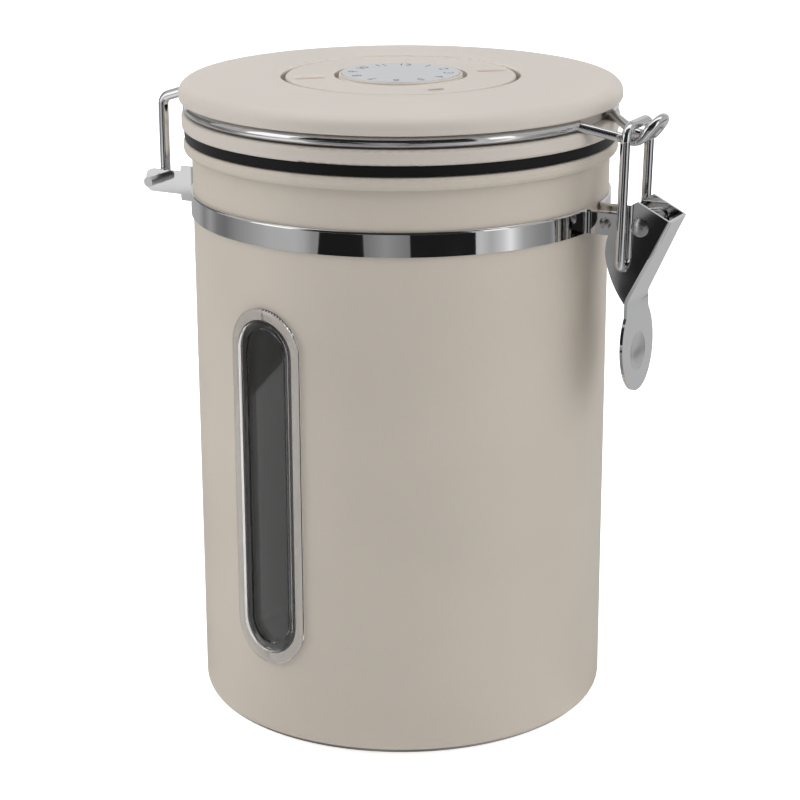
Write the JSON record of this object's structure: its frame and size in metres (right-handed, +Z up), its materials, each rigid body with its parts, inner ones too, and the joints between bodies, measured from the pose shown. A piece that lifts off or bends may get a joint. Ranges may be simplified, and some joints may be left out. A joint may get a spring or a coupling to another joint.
{
  "type": "coffee canister with valve",
  "caption": "Round upright coffee canister with a side window, a hinged wire-clamped lid with a date dial, whose ring turns round a fixed number plate, and a one-way valve, and an over-centre latch lever.",
  "frame": {"origin": "centre of the canister's base, on the surface it stands on", "axes": "+Z up along the canister's axis, +X towards the latch, -X towards the lid's hinge, the window close to -Y"},
  "size_m": [0.1651, 0.1268, 0.1858],
  "materials": {
    "coated_steel": "matte",
    "lid_plastic": "matte",
    "clear_plastic": "clear",
    "clear_seal": "satin",
    "dark_plastic": "matte",
    "bright_steel": "polished",
    "bright_wire": "polished",
    "black_rubber": "matte",
    "plate_metal": "satin",
    "valve_silicone": "satin",
    "filter_felt": "matte"
  },
  "bodies": {
    "canister": {"canister_body": "coated_steel", "window_lens": "clear_plastic", "window_seal": "clear_seal", "window_retainer": "dark_plastic", "clamp_band": "bright_steel", "clamp_rivet": "bright_steel", "hinge_bracket": "bright_steel", "hinge_bracket_rivets": "bright_steel", "lever_pivot": "bright_steel"},
    "lid": {"lid_cover": "lid_plastic", "lid_base": "lid_plastic", "lid_gasket": "black_rubber", "ring_wire_near": "bright_wire", "ring_wire_far": "bright_wire", "latch_nose": "bright_wire", "dial_cap": "lid_plastic", "number_plate": "plate_metal", "dial_washer": "dark_plastic", "dial_screw": "bright_steel", "valve_cage": "lid_plastic", "valve_filter": "filter_felt", "valve_grille": "lid_plastic"},
    "date_dial": {"dial_disc": "lid_plastic"},
    "valve": {"valve_disc": "valve_silicone"},
    "lever": {"latch_lever": "bright_steel"},
    "link": {"latch_link": "bright_wire"}
  },
  "joints": [
    {"name": "lid_hinge", "type": "hinge", "parent": "canister", "child": "lid", "pos_m": [-0.0745, 0, 0.1502], "axis": [0, -1, 0], "range_deg": [0, 110]},
    {"name": "dial_turn", "type": "hinge", "parent": "lid", "child": "date_dial", "pos_m": [0, 0, 0.1846], "axis": [0, 0, 1], "continuous": true},
    {"name": "valve_lift", "type": "slide", "parent": "lid", "child": "valve", "axis": [0, 0, 1], "range_m": [0, 0.0008]},
    {"name": "lever_pivot_turn", "type": "hinge", "parent": "canister", "child": "lever", "pos_m": [0.077, 0, 0.1496], "axis": [0, -1, 0], "range_deg": [0, 120]},
    {"name": "link_swing", "type": "hinge", "parent": "lever", "child": "link", "pos_m": [0.07229, 0, 0.1381], "axis": [0, -1, 0], "range_deg": [-85.2, 0]}
  ],
  "couplings": [
    {"joint": "link_swing", "follows": "lever_pivot_turn", "ratio": -0.71}
  ]
}
